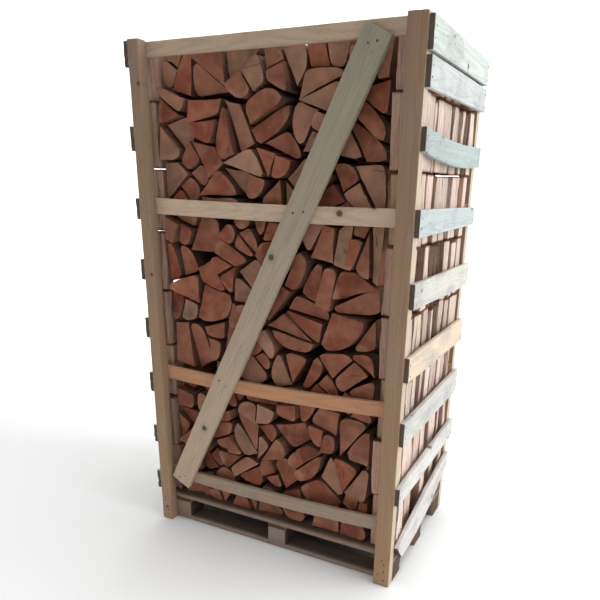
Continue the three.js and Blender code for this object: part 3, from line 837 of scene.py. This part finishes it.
def brace_axes(node):
    """The brace's run and its width, from the two shorter and two longer edges of its outline."""
    points = node_points(node)
    low = points[np.argmin(points[:, 2])]
    left = points[np.argmin(points[:, 0])]
    right = points[np.argmax(points[:, 0])]
    short, long = sorted((left - low, right - low), key=lambda edge: np.linalg.norm(edge * [1, 0, 1]))
    run = long * [1, 0, 1]
    across = -short * [1, 0, 1]
    return run / np.linalg.norm(run), across / np.linalg.norm(across)


class Builder:
    """An operator that hands one group of the scene's settings to its build method."""

    group = "crate_timber"

    def execute(self, context):
        self.build(getattr(context.scene, self.group))
        return {"FINISHED"}


class CratePosts(Builder, bpy.types.Operator):
    """Build the four corner posts"""

    bl_idname = "crate.posts"
    bl_label = "Posts"

    def build(self, timber):
        for node in numbered("post_"):
            # Each post's outer side is drawn paler: painted light.
            board(node, ALONG_Z, ALONG_X, "post_timber", timber.post_foot_tint, timber,
                  far_tint=timber.post_head_tint, lit_side=0.8 if node.endswith("right") else -0.8)


class CrateRails(Builder, bpy.types.Operator):
    """Build the rails across the front and the back"""

    bl_idname = "crate.rails"
    bl_label = "Rails"

    def build(self, timber):
        tints = [timber.rail_tint, timber.pale_rail_tint, timber.warm_rail_tint, timber.brown_rail_tint]
        for node in numbered("front_rail_") + numbered("back_rail_"):
            row = int(node[-1]) - 1
            material, wane = ("old_rail_timber", 0.009) if row == 3 else ("rail_timber", 0.004)
            board(node, ALONG_X, ALONG_Z, material, tints[row], timber, wane=wane)


class CrateBraces(Builder, bpy.types.Operator):
    """Build the diagonal braces"""

    bl_idname = "crate.braces"
    bl_label = "Braces"

    def build(self, timber):
        for node in ("front_brace", "back_brace"):
            run, across = brace_axes(node)
            board(node, run, across, "rail_timber", timber.brace_foot_tint, timber,
                  far_tint=timber.brace_head_tint)


class CrateSlats(Builder, bpy.types.Operator):
    """Build the slats on both sides"""

    bl_idname = "crate.slats"
    bl_label = "Slats"

    def build(self, timber):
        rough = {"right_slat_3": 0.009, "right_slat_4": 0.009, "right_slat_6": 0.008}
        barky = {"right_slat_3": 0.55, "right_slat_4": 0.65, "right_slat_6": 0.8}
        tints = dict.fromkeys(["right_slat_1", "right_slat_2", "left_slat_3"], timber.silvered_tint)
        tints |= dict.fromkeys(["right_slat_3", "right_slat_4", "left_slat_6"], timber.blue_slat_tint)
        tints |= dict.fromkeys(["right_slat_6", "left_slat_4"], timber.tan_slat_tint)
        for side in ("right", "left"):
            for node in numbered(f"{side}_slat_"):
                board(node, ALONG_Y, ALONG_Z, "slat_timber", tints.get(node, timber.slat_tint),
                      timber, wane=rough.get(node, 0.002), jag=0.004, bark=barky.get(node, 0.0))


class CratePallet(Builder, bpy.types.Operator):
    """Build the pallet's runners, blocks, stringers and deck boards"""

    bl_idname = "crate.pallet"
    bl_label = "Pallet"

    def build(self, timber):
        for node in numbered("pallet_"):
            run, across = (ALONG_Y, ALONG_X) if "stringer" in node else (ALONG_X, ALONG_Y)
            board(node, run, across, "pallet_timber", timber.pallet_tint, timber)


class CrateNails(Builder, bpy.types.Operator):
    """Set the nail heads where boards cross"""

    bl_idname = "crate.nails"
    bl_label = "Nails"

    def build(self, timber):
        draw = np.random.default_rng(7)
        for face in ("front", "back"):
            self.wall_nails(face, draw, timber)
        for side in ("left", "right"):
            self.slat_nails(side, draw, timber)

    def wall_nails(self, face, draw, timber):
        """Five nails at each post's foot, and two through the brace at each rail."""
        from_end = 0.06
        places = []
        edge = outer_side(f"post_{face}_left", face)
        for side in ("left", "right"):
            low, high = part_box(f"post_{face}_{side}")
            middle = (low[0] + high[0]) / 2
            wide = (high[0] - low[0]) * 0.22
            for rise in (0.028, 0.052, 0.070, 0.104, 0.122):
                places.append((middle + draw.uniform(-wide, wide), edge, rise))
        brace = f"{face}_brace"
        low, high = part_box(brace)
        surface = outer_side(brace, face)
        run, _ = brace_axes(brace)
        middle = [(low[0] + high[0]) / 2, (low[2] + high[2]) / 2]
        for rail in numbered(f"{face}_rail_"):
            height = (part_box(rail)[0][2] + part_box(rail)[1][2]) / 2
            reach = (min(max(height, low[2] + from_end), high[2] - from_end) - middle[1]) / run[2]
            for hand in (-1, 1):
                places.append((middle[0] + reach * run[0] + hand * draw.uniform(0.012, 0.026), surface,
                               middle[1] + reach * run[2] + draw.uniform(-0.012, 0.012)))
        nail_heads(f"{face}_nails", places, face, timber)

    def slat_nails(self, side, draw, timber):
        """Two nails at each end of each slat, into the post behind it."""
        from_end = 0.022
        places = []
        for node in numbered(f"{side}_slat_"):
            low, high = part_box(node)
            for end in (low[1] + from_end, high[1] - from_end):
                for share in (0.3, 0.7):
                    height = low[2] + share * (high[2] - low[2]) + draw.uniform(-0.006, 0.006)
                    places.append((outer_side(node, side), end + draw.uniform(-0.008, 0.008), height))
        nail_heads(f"{side}_slat_nails", places, side, timber)


class CrateLyingLogs(Builder, bpy.types.Operator):
    """Build the stacked logs whose sawn ends show at the front and the back"""

    bl_idname = "crate.lying_logs"
    bl_label = "Lying logs"
    group = "crate_firewood"

    def build(self, firewood):
        stations = [0.003, 0.5, 0.78, 0.90, 0.96, 0.985, 0.997]
        tints = [firewood.lying_tint] * 2
        for face, seed in (("front", 41), ("back", 42)):
            node = f"logs_lying_{face}"
            wall = wall_basis(face)
            logs = lying_logs(node, wall, firewood, np.random.default_rng(seed))
            firewood_piece(f"split_logs_{face}", node, logs, wall, stations, tints,
                           firewood.split_roughness, firewood, seed)


class CrateStandingLogs(Builder, bpy.types.Operator):
    """Build the logs that stand on end behind the slats"""

    bl_idname = "crate.standing_logs"
    bl_label = "Standing logs"
    group = "crate_firewood"

    def build(self, firewood):
        stations = np.concatenate([[0.004, 0.03], np.linspace(0.09, 0.91, 12), [0.97, 0.996]])
        tints = [firewood.upright_tint, firewood.shaded_inner_tint]
        for side, seed in (("right", 43), ("left", 44)):
            node = f"logs_standing_{side}"
            wall = wall_basis(side)
            logs = standing_logs(node, wall, firewood, np.random.default_rng(seed))
            firewood_piece(f"upright_logs_{side}", node, logs, np.roll(wall, 1, axis=0), stations, tints,
                           1.7 * firewood.split_roughness, firewood, seed)


class CrateStageSetup(Builder, bpy.types.Operator):
    """Set the floor, the lights and the camera"""

    bl_idname = "crate.stage"
    bl_label = "Stage"
    group = "crate_stage"

    def build(self, stage):
        self.floor(stage)
        self.lights(stage)
        self.camera()

    def floor(self, stage):
        """A round floor that curves up into a wall: a profile turned about the vertical. Under the pallet its
        colour is
        drawn dark: painted shade."""
        flat, cove, height = 9.0, 4.0, 9.0
        bend = np.linspace(0.0, math.pi / 2, 16)
        reach = np.concatenate([[0.02, 2.0, 5.0], flat + cove * np.sin(bend), [flat + cove]])
        rise = np.concatenate([[0.0, 0.0, 0.0], cove * (1.0 - np.cos(bend)), [height]])
        angle = np.linspace(0.0, 2.0 * math.pi, 97)[:-1]
        points = np.stack([reach[:, None] * np.cos(angle), reach[:, None] * np.sin(angle),
                           np.repeat(rise[:, None], len(angle), axis=1) - 0.0005], axis=-1)
        quads = ring_quads(len(reach), len(angle))[:, ::-1]
        middle = np.arange(len(angle))[None]
        mesh = bpy.data.meshes.new("floor")
        mesh.from_pydata(points.reshape(-1, 3).tolist(), [], quads.tolist() + middle.tolist())
        mesh.polygons.foreach_set("use_smooth", np.ones(len(mesh.polygons), dtype=bool))
        shader = Shader("pale_floor")
        # Painted shade: the floor is drawn dark under the crate's footprint.
        shade_under_crate = shader.depth_inside(CAD_BOX[1][0], CAD_BOX[1][1]).rise(0.02, 0.10)
        colour = shader.mix(shade_under_crate, opaque(stage.floor_tint), opaque(stage.floor_tint, 0.18))
        shader.tree.links.new(colour.socket, shader.surface.inputs["Base Color"])
        shader.surface.inputs["Roughness"].default_value = 0.9
        mesh.materials.append(shader.material)
        floor = bpy.data.objects.new("floor", mesh)
        bpy.context.scene.collection.objects.link(floor)

    def lights(self, stage):
        """An even sky, and area lights from the right, from above and on the far wall."""
        bpy.context.scene.view_settings.view_transform = "Standard"
        world = bpy.data.worlds.new("even_sky")
        bpy.context.scene.world = world
        world.use_nodes = True
        sky = world.node_tree.nodes["Background"]
        sky.inputs["Color"].default_value = (0.97, 0.985, 1.0, 1.0)
        sky.inputs["Strength"].default_value = stage.sky_strength
        # Place, target, watts, width and colour.
        lamps = {
            "side_light": ((4.4, 0.4, 2.6), (0.0, 0.0, 1.0), stage.side_strength, 3.2, (0.96, 0.99, 1.0)),
            "top_light": ((0.4, 0.8, 6.5), (0.4, 0.8, 0.0), stage.top_strength, 5.0, (1.0, 1.0, 1.0)),
            "wall_light": ((-1.5, 3.5, 6.5), (-4.5, 11.0, 2.5), stage.wall_strength, 3.0, (1.0, 1.0, 1.0)),
        }
        for name, (place, target, power, size, colour) in lamps.items():
            lamp = bpy.data.lights.new(name, "AREA")
            lamp.energy = power
            lamp.size = size
            lamp.color = colour
            light = bpy.data.objects.new(name, lamp)
            light.location = place
            aim = Vector(target) - Vector(place)
            light.rotation_euler = aim.to_track_quat("-Z", "Y").to_euler()
            bpy.context.scene.collection.objects.link(light)

    def camera(self):
        """The photograph's camera, from its place, its turn about the vertical, its tilt, its roll and its
        focal length and middle in pixels of the photograph's frame."""
        frame_pixels = 600.0
        focal_pixels = 596.1
        middle_pixels = (322.2, 400.3)
        turn, tilt, roll = 0.450, -0.349, 0.024
        lens = bpy.data.cameras.new("photo_camera")
        lens.sensor_fit = "HORIZONTAL"
        lens.sensor_width = 36.0
        lens.lens = focal_pixels / frame_pixels * lens.sensor_width
        lens.shift_x = (frame_pixels / 2 - middle_pixels[0]) / frame_pixels
        lens.shift_y = (middle_pixels[1] - frame_pixels / 2) / frame_pixels
        camera = bpy.data.objects.new("photo_camera", lens)
        camera.location = (1.2441, -2.4143, 1.5967)
        level = Euler((math.pi / 2 + tilt, 0.0, turn), "XYZ").to_matrix()
        camera.rotation_euler = (level @ Euler((0.0, 0.0, roll), "XYZ").to_matrix()).to_euler()
        bpy.context.scene.collection.objects.link(camera)
        bpy.context.scene.camera = camera


OPERATORS = (CrateStageSetup, CratePosts, CrateRails, CrateBraces, CrateSlats, CratePallet, CrateNails,
             CrateLyingLogs, CrateStandingLogs)
SETTINGS = {"crate_timber": CrateTimber, "crate_firewood": CrateFirewood, "crate_stage": CrateStage}


class CratePanel(bpy.types.Panel):
    """The crate's operators and sizes in the sidebar"""

    bl_idname = "VIEW3D_PT_crate"
    bl_label = "Crate of firewood"
    bl_space_type = "VIEW_3D"
    bl_region_type = "UI"
    bl_category = "Crate"

    def draw(self, context):
        for operator in OPERATORS:
            self.layout.operator(operator.bl_idname)
        for name, group in SETTINGS.items():
            settings = getattr(context.scene, name)
            for key in group.__annotations__:
                self.layout.prop(settings, key)


def register():
    for name, group in SETTINGS.items():
        bpy.utils.register_class(group)
        setattr(bpy.types.Scene, name, PointerProperty(type=group))
    for item in OPERATORS + (CratePanel,):
        bpy.utils.register_class(item)


def unregister():
    for item in (CratePanel,) + OPERATORS[::-1]:
        bpy.utils.unregister_class(item)
    for name, group in SETTINGS.items():
        delattr(bpy.types.Scene, name)
        bpy.utils.unregister_class(group)


def main():
    register()
    for operator in OPERATORS:
        group, name = operator.bl_idname.split(".")
        getattr(getattr(bpy.ops, group), name)()


if __name__ == "__main__":
    main()
